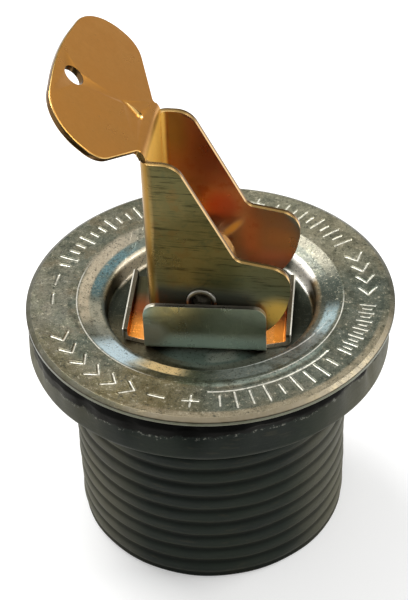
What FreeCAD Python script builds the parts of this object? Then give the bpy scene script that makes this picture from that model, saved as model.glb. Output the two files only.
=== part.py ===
import FreeCAD, Part
import math
import os

# Expansion plug for a small round opening in a deck or hull.
# Millimetres, +Z up. The origin is on the stem's axis, at the plug's bottom face.
# The handle's pivot runs along Y, and the handle folds down towards +X.

Vector = FreeCAD.Vector
UP = Vector(0, 0, 1)

# Rubber plug: a ribbed body under a thick lip
body_dia = 31.6
body_height = 23.05
lip_overhang = 0.3
lip_height = 5.55
lip_edge_radius = 0.8
rib_pitch = 2.0955
rib_depth = 0.5
rib_groove_width = 0.9
rubber_bevel_radius = 0.4

# Flange plate: a stamped ring, dished down to a well
flange_dia = 41.3
flange_sheet = 0.8
rim_bevel_width = 0.55
rim_bevel_height = 0.3
crease_radius = 0.3
dish_width = 2.7
dish_depth = 0.9
well_edge_radius = 0.6
well_gap = 1.45
well_depth = 2.85
well_corner_radius = 0.4

# Cam tray: a folded sheet with two tall tabs and two low tabs
tray_sheet = 0.6
tray_fold_radius = 0.3
tall_tab_width = 13.4
tall_tab_over_pin = 0.05
tall_tab_corner = 1.4
low_tab_width = 10.6
low_tab_height = 1.05
low_tab_gap = 2.65

# Lever handle: a folded sheet with a web, two cam cheeks and a thumb tab
handle_sheet = 0.7
channel_width = 10.8
channel_corner_radius = 1.4
web_reach = 6.1
heel_radius = 3.1
pin_height = 5.6
cam_lift = 4.05
fold_angle = 90.0
lobe_radius = 2.4
waist_x = 3.77
waist_z = 5.6
waist_radius = 1.4
shoulder_x = -2.31
shoulder_radius = 2.5
cheek_height = 17.4
tab_rise_angle = 43.5
tab_bend_radius = 0.8
neck_inset = 0.7
neck_length = 0.3
neck_radius = 0.4
tab_width = 22.2
tab_offset = 0.6
tab_shoulder = 4.0
tab_shoulder_radius = 3.2
tab_corner = 10.95
tab_corner_radius = 5.2
tab_tip = 12.55
tab_tip_radius = 30.0
tab_edge_radius = 0.2
lanyard_hole_dia = 2.4
lanyard_hole_distance = 9.7
lanyard_hole_offset = -1.95
dart_distance = 1.45
dart_length = 2.5
dart_dia = 1.3
dart_depth = 0.35

# Pivot rivet: clinched and hollow at the near end, domed at the far end
rivet_dia = 2.9
rivet_ring_dia = 3.3
rivet_ring_height = 0.35
rivet_bore_dia = 2.1
rivet_bore_depth = 3.0
rivet_bore_radius = 0.09
rivet_head_dia = 5.0
rivet_head_height = 0.4
rivet_head_radius = 0.3
rivet_ring_radius = 0.15

# Eye stem: a threaded bolt, rounded over and drilled across at its top
stem_dia = 6.35
stem_end_height = 0.6
stem_end_chamfer = 0.6

# Cup washer: a pressure washer with a hex pocket for the nut
washer_margin = 2.6
washer_sheet = 1.2
nut_room = 2.64
cup_corner_radius = 1.0

# Adjusting nut
nut_flats = 11.11
nut_height = 5.56
nut_chamfer_angle = 30.0

# Clearances
running_clearance = 0.05
stem_clearance = 0.08
bore_clearance = 0.3
seat_clearance = 0.1
pocket_clearance = 0.2
nut_side_clearance = 0.15
cam_clearance = 0.05
tab_clearance = 0.25
recess_clearance = 0.15

# Spans of the curve that draws the cam
cam_steps = 12

# Spare length by which cutting tools pass through a face
cut_margin = 1.0

# Sizes and heights that follow from the dimensions above
lip_dia = flange_dia + 2 * lip_overhang
washer_dia = body_dia - 2 * washer_margin
low_tab_reach = web_reach + low_tab_gap + tray_sheet
tall_tab_height = pin_height + tall_tab_over_pin
well_radius = math.hypot(low_tab_reach, low_tab_width / 2) + well_gap
crease_reach = well_radius + dish_width
neck_width = channel_width - 2 * neck_inset
cup_roof_height = nut_room + nut_height
rubber_top = body_height + lip_height
flange_top = rubber_top + flange_sheet
well_floor = flange_top - well_depth
tray_floor_top = well_floor + tray_sheet
pin_level = tray_floor_top + pin_height
stem_radius = stem_dia / 2
cheek_face = channel_width / 2
tall_tab_inside = cheek_face + running_clearance + max(rivet_head_height, rivet_ring_height) + tab_clearance
tall_tab_reach = tall_tab_inside + tray_sheet
cup_flats = nut_flats + 2 * nut_side_clearance
cup_outer_flats = cup_flats + 2 * washer_sheet
cup_top = cup_roof_height + washer_sheet
lift_per_radian = cam_lift / math.radians(fold_angle)
cam_foot = pin_height - cam_clearance


def rounded_path(corners, place, closed):
    """Edges through corners (a, b, radius), with each corner rounded by a tangent arc."""
    points = [Vector(a, b, 0) for a, b, radius in corners]
    count = len(points)
    edges = []
    ends = []
    for index, (a, b, radius) in enumerate(corners):
        corner = points[index]
        if radius == 0 or (not closed and index in (0, count - 1)):
            ends.append((corner, None, corner))
            continue
        back = (points[index - 1] - corner).normalize()
        ahead = (points[(index + 1) % count] - corner).normalize()
        half = back.getAngle(ahead) / 2
        inward = (back + ahead).normalize()
        reach = radius / math.tan(half)
        middle = corner + inward * (radius / math.sin(half) - radius)
        ends.append((corner + back * reach, middle, corner + ahead * reach))
    for index in range(count):
        start, middle, end = ends[index]
        if middle is not None:
            arc = Part.Arc(place(start.x, start.y), place(middle.x, middle.y), place(end.x, end.y))
            edges.append(arc.toShape())
        if index == count - 1 and not closed:
            break
        following = ends[(index + 1) % count][0]
        if end.distanceToPoint(following) > 1e-6:
            edges.append(Part.makeLine(place(end.x, end.y), place(following.x, following.y)))
    return edges


def face_of(edges):
    return Part.Face(Part.Wire(edges))


def in_side_view(x, z):
    return Vector(x, 0, z)


def in_plan(x, y):
    return Vector(x, y, 0)


def turned(corners):
    """A ring or disc turned about the Z axis from corners (radius, height, rounding)."""
    return face_of(rounded_path(corners, in_side_view, True)).revolve(Vector(0, 0, 0), UP, 360)


def cylinder(radius, start, direction, length):
    return Part.makeCylinder(radius, length, start, direction)


def hex_prism(flats, bottom, top, rounding):
    """A hexagonal prism about Z, with rounded vertical edges."""
    radius = flats / math.sqrt(3)
    corners = []
    for side in range(6):
        angle = math.radians(60 * side)
        corners.append((radius * math.cos(angle), radius * math.sin(angle), rounding))
    prism = face_of(rounded_path(corners, in_plan, True)).extrude(Vector(0, 0, top - bottom))
    prism.translate(Vector(0, 0, bottom))
    return prism


def mitred(before, corner, after, distance):
    """The corner of a parallel line, at a distance to the right of the path through the corner."""
    first = Vector(corner[0] - before[0], corner[1] - before[1], 0).normalize()
    second = Vector(after[0] - corner[0], after[1] - corner[1], 0).normalize()
    normal_one = Vector(first.y, -first.x, 0)
    normal_two = Vector(second.y, -second.x, 0)
    shift = (normal_one + normal_two) * (distance / (1 + normal_one.dot(normal_two)))
    return corner[0] + shift.x, corner[1] + shift.y


def flange_underside(distance):
    """Underside corners of the flange's dish and well, a distance below its top surface."""
    inner = (0, well_floor)
    bottom = (well_radius, well_floor)
    edge = (well_radius, flange_top - dish_depth)
    crease = (crease_reach, flange_top)
    outer = (flange_dia / 2, flange_top)
    return (mitred(inner, bottom, edge, distance),
            mitred(bottom, edge, crease, distance),
            mitred(edge, crease, outer, distance))


def make_rubber_plug():
    """Lip and ribbed body, hollowed for the flange's well, the stem and the cup washer."""
    radius = body_dia / 2
    lip = lip_dia / 2
    bottom, edge, crease = flange_underside(flange_sheet + seat_clearance)
    pocket_radius = cup_outer_flats / math.sqrt(3) + pocket_clearance
    recess_radius = washer_dia / 2 + recess_clearance
    bore = stem_radius + bore_clearance
    corners = [(bore, cup_top + pocket_clearance, 0),
               (pocket_radius, cup_top + pocket_clearance, 0),
               (pocket_radius, washer_sheet, 0),
               (recess_radius, washer_sheet, 0),
               (recess_radius, 0, 0),
               (radius - rib_depth, 0, 0)]
    rib_count = int(body_height / rib_pitch + 0.001)
    for rib in range(rib_count):
        low = rib * rib_pitch
        corners.append((radius, low + rib_depth, 0))
        corners.append((radius, low + rib_pitch - rib_groove_width, 0))
        corners.append((radius - rib_depth, low + rib_pitch - rib_groove_width / 2, 0))
    corners += [(radius - rib_depth, body_height, 0),
                (lip, body_height, lip_edge_radius),
                (lip, rubber_top, rubber_bevel_radius),
                (crease[0], rubber_top, 0),
                (edge[0], edge[1], 0),
                (bottom[0], well_floor - flange_sheet, 0),
                (bore, well_floor - flange_sheet, 0)]
    return turned(corners)


def make_flange_plate():
    bottom, edge, crease = flange_underside(flange_sheet)
    radius = flange_dia / 2
    hole = stem_radius + stem_clearance
    return turned([(hole, well_floor, 0),
                   (hole, well_floor - flange_sheet, 0),
                   (bottom[0], bottom[1], well_corner_radius + flange_sheet),
                   (edge[0], edge[1], 0),
                   (crease[0], crease[1], 0),
                   (radius, rubber_top, 0),
                   (radius, flange_top - rim_bevel_height, 0),
                   (radius - rim_bevel_width, flange_top, 0),
                   (crease_reach, flange_top, crease_radius),
                   (well_radius, flange_top - dish_depth, well_edge_radius),
                   (well_radius, well_floor, well_corner_radius)])


def make_tray_strip(width, reach, height, corner):
    """A strip of the floor with a tab folded up at each end, along X."""
    outside = tray_fold_radius + tray_sheet
    top = tray_sheet + height
    profile = [(-reach, top, 0), (-reach, 0, outside), (reach, 0, outside), (reach, top, 0),
               (reach - tray_sheet, top, 0), (reach - tray_sheet, tray_sheet, tray_fold_radius),
               (-reach + tray_sheet, tray_sheet, tray_fold_radius), (-reach + tray_sheet, top, 0)]
    strip = face_of(rounded_path(profile, in_side_view, True)).extrude(Vector(0, width, 0))
    strip.translate(Vector(0, -width / 2, 0))
    half = width / 2
    front = [(-half, 0, 0), (half, 0, 0), (half, top, corner), (-half, top, corner)]
    outline = face_of(rounded_path(front, lambda y, z: Vector(-reach, y, z), True))
    return strip.common(outline.extrude(Vector(2 * reach, 0, 0)))


def make_cam_tray():
    low = make_tray_strip(low_tab_width, low_tab_reach, low_tab_height, 0)
    tall = make_tray_strip(tall_tab_width, tall_tab_reach, tall_tab_height, tall_tab_corner)
    tall.rotate(Vector(0, 0, 0), UP, 90)
    outside = tray_fold_radius + tray_sheet
    far_x = low_tab_reach - outside
    far_y = tall_tab_reach - outside
    half_x = tall_tab_width / 2
    half_y = low_tab_width / 2
    plan = []
    for x, y in ((far_x, half_y), (half_x, far_y), (-half_x, far_y), (-far_x, half_y),
                 (-far_x, -half_y), (-half_x, -far_y), (half_x, -far_y), (far_x, -half_y)):
        plan.append((x, y, 0))
    floor = face_of(rounded_path(plan, in_plan, True)).extrude(Vector(0, 0, tray_sheet))
    tray = floor.fuse([low, tall]).removeSplitter()
    hole = cylinder(stem_radius + stem_clearance, Vector(0, 0, -cut_margin), UP, tray_sheet + 2 * cut_margin)
    tray = tray.cut(hole)
    tray.translate(Vector(0, 0, well_floor))
    return tray


def cam_point(angle):
    """Point of the cam, from the pin, that bears on the tray when the handle has folded by angle.

    The distance from the pin to the bearing face grows evenly with the angle.
    """
    distance = cam_foot + lift_per_radian * angle
    x = distance * math.sin(angle) + lift_per_radian * math.cos(angle)
    z = -distance * math.cos(angle) + lift_per_radian * math.sin(angle)
    return Vector(x, 0, z)


def cheek_outline():
    """Side view of a cheek about the pin: foot, cam, lobe, waist, shoulder, back and heel."""
    fold = math.radians(fold_angle)
    points = [cam_point(fold * step / cam_steps) for step in range(cam_steps + 1)]
    cam = Part.BSplineCurve()
    end_direction = Vector(math.cos(fold), 0, math.sin(fold))
    cam.interpolate(Points=points, InitialTangent=Vector(1, 0, 0), FinalTangent=end_direction)
    nose = points[-1]
    centre = nose - Vector(math.sin(fold), 0, -math.cos(fold)) * lobe_radius
    waist = Vector(waist_x, 0, waist_z)
    to_waist = waist - centre
    start = fold - math.pi / 2
    end = math.atan2(to_waist.z, to_waist.x) - math.acos(lobe_radius / to_waist.Length)

    def on_lobe(angle):
        return centre + Vector(math.cos(angle), 0, math.sin(angle)) * lobe_radius

    lobe = Part.Arc(nose, on_lobe((start + end) / 2), on_lobe(end))
    lobe_end = on_lobe(end)
    rest = [(lobe_end.x, lobe_end.z, 0),
            (waist_x, waist_z, waist_radius),
            (shoulder_x, cheek_height, shoulder_radius),
            (-web_reach, cheek_height, 0),
            (-web_reach, -cam_foot, heel_radius),
            (points[0].x, points[0].z, 0)]
    return [cam.toShape(), lobe.toShape()] + rounded_path(rest, in_side_view, False)


def make_channel():
    """The web and both cheeks, folded from one sheet."""
    outside = channel_width / 2
    inside = outside - handle_sheet
    back = -web_reach
    front = cam_point(math.radians(fold_angle)).x + cut_margin
    inner_radius = channel_corner_radius - handle_sheet
    section = [(back, -outside, channel_corner_radius), (front, -outside, 0), (front, -inside, 0),
               (back + handle_sheet, -inside, inner_radius), (back + handle_sheet, inside, inner_radius),
               (front, inside, 0), (front, outside, 0), (back, outside, channel_corner_radius)]
    length = cam_foot + cheek_height + 2 * cut_margin
    channel = face_of(rounded_path(section, in_plan, True)).extrude(Vector(0, 0, length))
    channel.translate(Vector(0, 0, -cam_foot - cut_margin))
    side = face_of(cheek_outline()).extrude(Vector(0, channel_width + 2 * cut_margin, 0))
    side.translate(Vector(0, -outside - cut_margin, 0))
    return channel.common(side)


def make_lever_handle():
    turn = math.radians(90 - tab_rise_angle)
    normal = Vector(math.cos(turn), 0, math.sin(turn))
    along = Vector(-math.sin(turn), 0, math.cos(turn))
    centre = Vector(-web_reach - tab_bend_radius, 0, cheek_height)
    outer = tab_bend_radius + handle_sheet

    def on_bend(radius, angle):
        return centre + Vector(math.cos(angle), 0, math.sin(angle)) * radius

    bend_edges = [Part.Arc(on_bend(outer, 0), on_bend(outer, turn / 2), on_bend(outer, turn)).toShape(),
                  Part.makeLine(on_bend(outer, turn), on_bend(tab_bend_radius, turn)),
                  Part.Arc(on_bend(tab_bend_radius, turn), on_bend(tab_bend_radius, turn / 2),
                           on_bend(tab_bend_radius, 0)).toShape(),
                  Part.makeLine(on_bend(tab_bend_radius, 0), on_bend(outer, 0))]
    bend = face_of(bend_edges).extrude(Vector(0, neck_width, 0))
    bend.translate(Vector(0, -neck_width / 2, 0))

    tab_start = on_bend(tab_bend_radius, turn)

    def in_tab(distance, y):
        return tab_start + along * distance + Vector(0, y, 0)

    def side_of_tab(side):
        edge = tab_offset + side * tab_width / 2
        neck = side * neck_width / 2
        return [(0, neck, 0), (neck_length, neck, neck_radius),
                (tab_shoulder, edge, tab_shoulder_radius), (tab_corner, edge, tab_corner_radius)]

    outline = side_of_tab(1) + [(tab_tip, tab_offset, tab_tip_radius)] + side_of_tab(-1)[::-1]
    tab = face_of(rounded_path(outline, in_tab, True)).extrude(normal * handle_sheet)
    rim = []
    for edge in tab.Edges:
        middle = edge.CenterOfMass - tab_start
        across = abs(edge.Vertexes[0].Point.sub(edge.Vertexes[-1].Point).dot(normal)) > handle_sheet / 2
        if not across and middle.dot(along) > tab_shoulder - tab_shoulder_radius / 2:
            rim.append(edge)
    tab = tab.makeFillet(tab_edge_radius, rim)
    hole_start = in_tab(lanyard_hole_distance, tab_offset + lanyard_hole_offset) - normal * cut_margin
    tab = tab.cut(cylinder(lanyard_hole_dia / 2, hole_start, normal,
                           handle_sheet + 2 * cut_margin))

    dart_low = in_tab(dart_distance, tab_offset) + normal * (handle_sheet + dart_dia / 2 - dart_depth)
    dart_slope = (along * dart_length + normal * dart_depth).normalize()

    def dart(radius):
        """A ball-ended rod that lies along the tab and climbs out of its top face."""
        rod = cylinder(radius, dart_low, dart_slope, dart_length + cut_margin)
        return rod.fuse(Part.makeSphere(radius, dart_low))

    under = [(0, -neck_width / 2, 0), (tab_corner, -neck_width / 2, 0),
             (tab_corner, neck_width / 2, 0), (0, neck_width / 2, 0)]
    below_tab = face_of(rounded_path(under, in_tab, True)).extrude(-normal * handle_sheet)
    below_tab.translate(normal * (handle_sheet / 2))
    ridge = dart(dart_dia / 2 + handle_sheet).common(below_tab)
    tab = tab.fuse(ridge).cut(dart(dart_dia / 2))

    handle = make_channel().fuse([bend, tab]).removeSplitter()
    pin_hole = cylinder(rivet_dia / 2 + running_clearance, Vector(0, -channel_width, 0),
                        Vector(0, 1, 0), 2 * channel_width)
    handle = handle.cut(pin_hole)
    handle.translate(Vector(0, 0, pin_level))
    return handle


def make_pivot_rivet():
    """Turned about the pivot axis: a hollow clinched ring, a shank and a domed head."""
    shank = rivet_dia / 2
    ring = rivet_ring_dia / 2
    bore = rivet_bore_dia / 2
    head = rivet_head_dia / 2
    near = -cheek_face - running_clearance
    far = cheek_face + running_clearance
    near_end = near - rivet_ring_height
    far_end = far + rivet_head_height
    profile = [(0, near_end + rivet_bore_depth, 0), (bore, near_end + rivet_bore_depth, 0),
               (bore, near_end, rivet_bore_radius), (ring, near_end, rivet_ring_radius),
               (ring, near, 0), (shank, near, 0), (shank, far, 0), (head, far, 0),
               (head, far_end, rivet_head_radius), (0, far_end, 0)]
    face = face_of(rounded_path(profile, lambda r, y: Vector(r, y, pin_level), True))
    return face.revolve(Vector(0, 0, pin_level), Vector(0, 1, 0), 360)


def make_eye_stem():
    """A rod whose top is rounded about the pivot axis, with the pivot's hole across it."""
    top = pin_level + stem_radius
    stem = turned([(0, stem_end_height, 0),
                   (stem_radius - stem_end_chamfer, stem_end_height, 0),
                   (stem_radius, stem_end_height + stem_end_chamfer, 0),
                   (stem_radius, top, 0),
                   (0, top, 0)])

    def across(radius):
        return cylinder(radius, Vector(0, -stem_dia, pin_level), Vector(0, 1, 0), 2 * stem_dia)

    shank = cylinder(stem_radius + cut_margin, Vector(0, 0, 0), UP, pin_level)
    return stem.common(shank.fuse(across(stem_radius))).cut(across(rivet_dia / 2 + running_clearance))


def make_cup_washer():
    disc = cylinder(washer_dia / 2, Vector(0, 0, 0), UP, washer_sheet)
    cup = hex_prism(cup_outer_flats, 0, cup_top, cup_corner_radius)
    pocket = hex_prism(cup_flats, -cut_margin, cup_roof_height, 0)
    hole = cylinder(stem_radius + bore_clearance, Vector(0, 0, -cut_margin), UP,
                    cup_top + 2 * cut_margin)
    return disc.fuse(cup).cut(pocket).cut(hole).removeSplitter()


def make_adjusting_nut():
    """A hex nut against the roof of the washer's pocket, with its corners turned off."""
    top = cup_roof_height
    bottom = top - nut_height
    flat = nut_flats / 2
    corner = nut_flats / math.sqrt(3)
    drop = (corner - flat) * math.tan(math.radians(nut_chamfer_angle))
    turning = turned([(0, bottom, 0), (flat, bottom, 0), (corner, bottom + drop, 0),
                      (corner, top - drop, 0), (flat, top, 0), (0, top, 0)])
    bore = cylinder(stem_radius + running_clearance, Vector(0, 0, bottom - cut_margin), UP,
                    nut_height + 2 * cut_margin)
    return hex_prism(nut_flats, bottom, top, 0).common(turning).cut(bore)


pieces = {
    "rubber_plug": make_rubber_plug(),
    "flange_plate": make_flange_plate(),
    "cam_tray": make_cam_tray(),
    "lever_handle": make_lever_handle(),
    "pivot_rivet": make_pivot_rivet(),
    "eye_stem": make_eye_stem(),
    "cup_washer": make_cup_washer(),
    "adjusting_nut": make_adjusting_nut(),
}

os.makedirs("parts", exist_ok=True)
for name, shape in pieces.items():
    shape.exportStep("parts/" + name + ".step")
    box = shape.BoundBox
    print(name, "solids", len(shape.Solids), "valid", shape.isValid(), "volume", round(shape.Volume, 2),
          "low", round(box.XMin, 2), round(box.YMin, 2), round(box.ZMin, 2),
          "high", round(box.XMax, 2), round(box.YMax, 2), round(box.ZMax, 2))
print("pin level", round(pin_level, 3), "lift per radian", round(lift_per_radian, 6))
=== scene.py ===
import math

import bmesh
import bpy
import numpy as np
from mathutils import Matrix, Vector


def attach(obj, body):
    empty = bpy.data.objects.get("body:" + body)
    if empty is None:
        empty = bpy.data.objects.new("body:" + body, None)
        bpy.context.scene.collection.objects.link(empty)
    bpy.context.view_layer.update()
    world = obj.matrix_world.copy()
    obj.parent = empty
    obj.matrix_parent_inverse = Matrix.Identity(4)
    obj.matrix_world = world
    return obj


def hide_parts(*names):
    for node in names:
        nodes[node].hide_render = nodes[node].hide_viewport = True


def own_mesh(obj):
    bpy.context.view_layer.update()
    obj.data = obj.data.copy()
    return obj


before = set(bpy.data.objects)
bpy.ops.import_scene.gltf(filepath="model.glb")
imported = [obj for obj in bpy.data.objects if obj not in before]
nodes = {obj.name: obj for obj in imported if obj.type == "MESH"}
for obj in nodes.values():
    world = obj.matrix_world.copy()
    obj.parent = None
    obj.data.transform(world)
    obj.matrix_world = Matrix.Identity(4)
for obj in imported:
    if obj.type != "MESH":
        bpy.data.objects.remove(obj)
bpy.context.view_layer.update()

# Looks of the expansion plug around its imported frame. Lengths below are in millimetres unless said otherwise.
MM = 0.001
scene = bpy.context.scene

# Sizes shared with the solids
FLANGE_RADIUS = 20.65
FLANGE_TOP = 29.4
FLANGE_SHEET = 0.8
RIM_BEVEL = (0.55, 0.3)
RUBBER_TOP = 28.6
WELL_FLOOR = 26.55
WELL_RADIUS = 11.75
DISH_DEPTH = 0.9
CREASE_REACH = 14.898
SEAT_CLEARANCE = 0.1
STEM_RADIUS = 3.175
STEM_HOLE = 3.255
RUBBER_BORE = 3.475
POCKET_RADIUS = 8.173
POCKET_TOP = 11.2
RECESS_RADIUS = 13.35
RECESS_TOP = 1.2
BODY_RADIUS = 15.85
BODY_HEIGHT = 23.05
LIP_RADIUS = 20.5
RIB_PITCH = 2.0955
RIB_DEPTH = 0.5
PIN_LEVEL = 32.75
CHANNEL_HALF = 5.4
WEB_REACH = 6.1
CHANNEL_CORNER = 1.4
BEND_AXIS = (-6.9, 50.15)
TAB_TURN = math.radians(46.5)
TRAY_FOLD = 0.9
LOW_TAB_REACH = 9.35
TALL_TAB_REACH = 6.55
TRAY_PLAY = math.radians(3.2)


# Mesh helpers

def mesh_from(name, vertices, faces):
    """A mesh with smooth faces from points in millimetres."""
    mesh = bpy.data.meshes.new(name)
    mesh.from_pydata((np.asarray(vertices, float) * MM).tolist(), [], faces)
    mesh.update()
    mesh.polygons.foreach_set("use_smooth", [True] * len(mesh.polygons))
    return mesh


def point_values(mesh, name, values):
    """Gives each point of a mesh a number that its material can read."""
    attribute = mesh.attributes.new(name, "FLOAT", "POINT")
    attribute.data.foreach_set("value", np.asarray(values, np.float32).reshape(-1))


def add_piece(name, mesh, materials, body, replaced=(), weighted=False):
    piece = bpy.data.objects.new(name, mesh)
    scene.collection.objects.link(piece)
    mesh.materials.clear()
    for material in materials:
        mesh.materials.append(material)
    if weighted:
        modifier = piece.modifiers.new("face_normals", "WEIGHTED_NORMAL")
        modifier.weight = 100
        modifier.mode = "FACE_AREA"
    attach(piece, body)
    if replaced:
        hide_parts(*replaced)
    return piece


def rounded(corners, steps=4, closed=True):
    """Points through corners (a, b, radius), each corner rounded by an arc of a few steps."""
    points = [np.array(c[:2], float) for c in corners]
    count = len(points)
    path = []
    for i, (a, b, radius) in enumerate(corners):
        if radius == 0 or (not closed and i in (0, count - 1)):
            path.append(points[i])
            continue
        behind = points[i - 1] - points[i]
        ahead = points[(i + 1) % count] - points[i]
        behind /= np.linalg.norm(behind)
        ahead /= np.linalg.norm(ahead)
        half = math.acos(max(-1, min(1, behind @ ahead))) / 2
        inward = (behind + ahead) / np.linalg.norm(behind + ahead)
        centre = points[i] + inward * radius / math.sin(half)
        start = points[i] + behind * radius / math.tan(half) - centre
        end = points[i] + ahead * radius / math.tan(half) - centre
        sweep = math.pi - 2 * half
        for k in range(steps + 1):
            t = k / steps
            path.append(centre + (start * math.sin((1 - t) * sweep) + end * math.sin(t * sweep)) / math.sin(sweep))
    return path


def revolved(profile, segments, axis="Z", level=0.0):
    """Points and faces of a closed section (radius, height) turned about Z, or about the pivot for axis Y."""
    profile = np.array(profile)
    count = len(profile)
    angles = np.arange(segments) * 2 * math.pi / segments
    height = np.broadcast_to(profile[None, :, 1], (segments, count))
    along = profile[None, :, 0] * np.cos(angles)[:, None]
    across = profile[None, :, 0] * np.sin(angles)[:, None]
    if axis == "Z":
        grid = np.stack([along, across, height + level], -1)
    else:
        grid = np.stack([across, height, along + level], -1)
    faces = []
    for i in range(segments):
        j = (i + 1) % segments
        for k in range(count):
            m = (k + 1) % count
            faces.append((i * count + k, j * count + k, j * count + m, i * count + m))
    return grid, faces


def clean(mesh):
    """Joins points that lie on each other, drops what then has no area and turns faces outwards."""
    bm = bmesh.new()
    bm.from_mesh(mesh)
    bmesh.ops.remove_doubles(bm, verts=bm.verts, dist=1e-7)
    bmesh.ops.dissolve_degenerate(bm, edges=bm.edges, dist=1e-8)
    bmesh.ops.recalc_face_normals(bm, faces=bm.faces)
    bm.to_mesh(mesh)
    bm.free()
    mesh.polygons.foreach_set("use_smooth", [True] * len(mesh.polygons))
    return mesh


def edge_rounded(node, name, width, sheet_normal=None, segments=3, angle=45.0, keep_above=None):
    """A copy of a node's solid as clean faces, with its sharp edges broken by a small radius.

    The face attribute edge is 1 on cut edges and roundings and 0 on the sheet's faces.
    """
    mesh = nodes[node].data.copy()
    mesh.name = name
    bm = bmesh.new()
    bm.from_mesh(mesh)
    bmesh.ops.remove_doubles(bm, verts=bm.verts, dist=2e-7)
    if keep_above is not None:
        cut = bmesh.ops.bisect_plane(bm, geom=bm.verts[:] + bm.edges[:] + bm.faces[:], dist=1e-8,
                                     plane_co=(0, 0, keep_above * MM), plane_no=(0, 0, -1), clear_outer=True)
        rim = [g for g in cut["geom_cut"] if isinstance(g, bmesh.types.BMEdge)]
        bmesh.ops.contextual_create(bm, geom=rim)
    bmesh.ops.dissolve_limit(bm, angle_limit=math.radians(0.5), verts=bm.verts, edges=bm.edges)
    sharp = [e for e in bm.edges if len(e.link_faces) == 2 and e.calc_face_angle(0) > math.radians(angle)]
    made = bmesh.ops.bevel(bm, geom=sharp, offset=width * MM, offset_type="OFFSET", segments=segments,
                           profile=0.5, affect="EDGES", clamp_overlap=True)
    bm.normal_update()
    layer = bm.faces.layers.float.new("edge")
    rounding = set(made["faces"])
    for face in bm.faces:
        if sheet_normal is None:
            face[layer] = 1.0 if face in rounding else 0.0
        else:
            facing = abs(face.normal.dot(sheet_normal(face.calc_center_median() / MM)))
            face[layer] = min(1.0, max(0.0, (0.97 - facing) / 0.5))
    bmesh.ops.triangulate(bm, faces=[f for f in bm.faces if len(f.verts) > 4])
    bm.to_mesh(mesh)
    bm.free()
    mesh.polygons.foreach_set("use_smooth", [True] * len(mesh.polygons))
    return mesh


def mitred(before, corner, after, distance):
    """The corner of a parallel line, at a distance to the right of the path through the corner."""
    first = np.array(corner, float) - before
    second = np.array(after, float) - corner
    first /= np.linalg.norm(first)
    second /= np.linalg.norm(second)
    one = np.array([first[1], -first[0]])
    two = np.array([second[1], -second[0]])
    return np.array(corner) + (one + two) * distance / (1 + one @ two)


def flange_underside(distance):
    """Underside corners of the flange's well, dish and crease, a distance below its top."""
    path = [(0, WELL_FLOOR), (WELL_RADIUS, WELL_FLOOR), (WELL_RADIUS, FLANGE_TOP - DISH_DEPTH),
            (CREASE_REACH, FLANGE_TOP), (FLANGE_RADIUS, FLANGE_TOP)]
    return [mitred(path[i - 1], path[i], path[i + 1], distance) for i in (1, 2, 3)]


# Finishes: procedural materials, in the row frame's metres

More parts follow.
